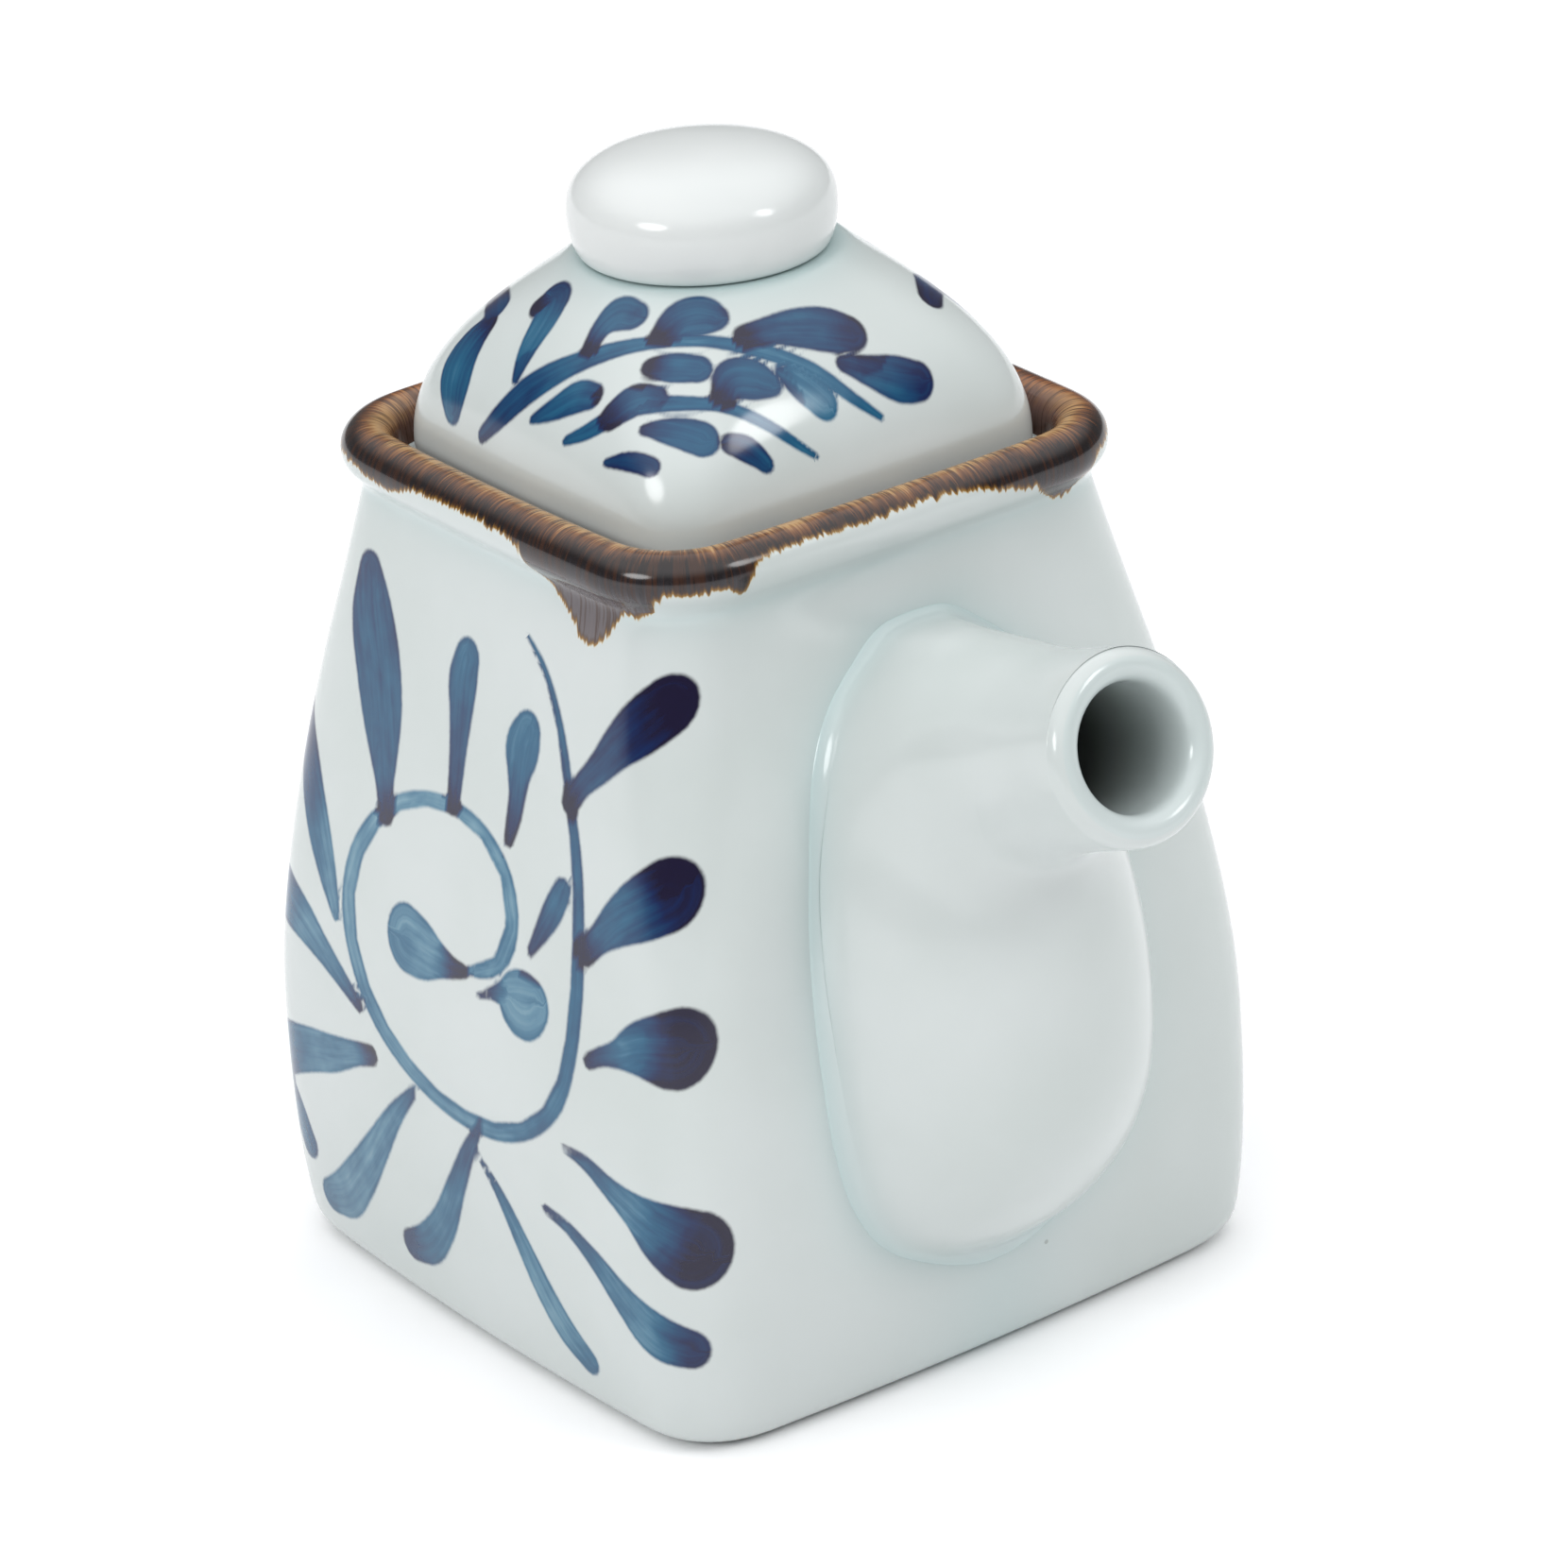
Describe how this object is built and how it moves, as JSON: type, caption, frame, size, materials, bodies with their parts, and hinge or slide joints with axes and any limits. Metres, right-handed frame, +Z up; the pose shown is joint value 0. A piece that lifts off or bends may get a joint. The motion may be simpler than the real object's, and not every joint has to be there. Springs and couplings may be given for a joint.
{
  "type": "lidded sake bottle",
  "caption": "Square porcelain pouring bottle with swelling walls, side bulb and tubular spout, rolled brown rim and a domed lift-off lid with bun knob.",
  "frame": {"origin": "centre of the foot, on the surface the bottle stands on", "axes": "+Z up through mouth, lid and knob; +X out along the spout; the painted side faces -Y"},
  "size_m": [0.1145, 0.084, 0.1295],
  "materials": {
    "vessel_glaze": "gloss",
    "spout_glaze": "gloss",
    "lid_glaze": "gloss",
    "collar_glaze": "gloss",
    "knob_glaze": "gloss"
  },
  "bodies": {
    "bottle": {"vessel": "vessel_glaze", "spout": "spout_glaze"},
    "lid": {"lid_dome": "lid_glaze", "lid_collar": "collar_glaze", "lid_knob": "knob_glaze"}
  },
  "joints": [
    {"name": "lid_lift", "type": "slide", "parent": "bottle", "child": "lid", "axis": [0, 0, 1], "range_m": [0, 0.06]}
  ]
}
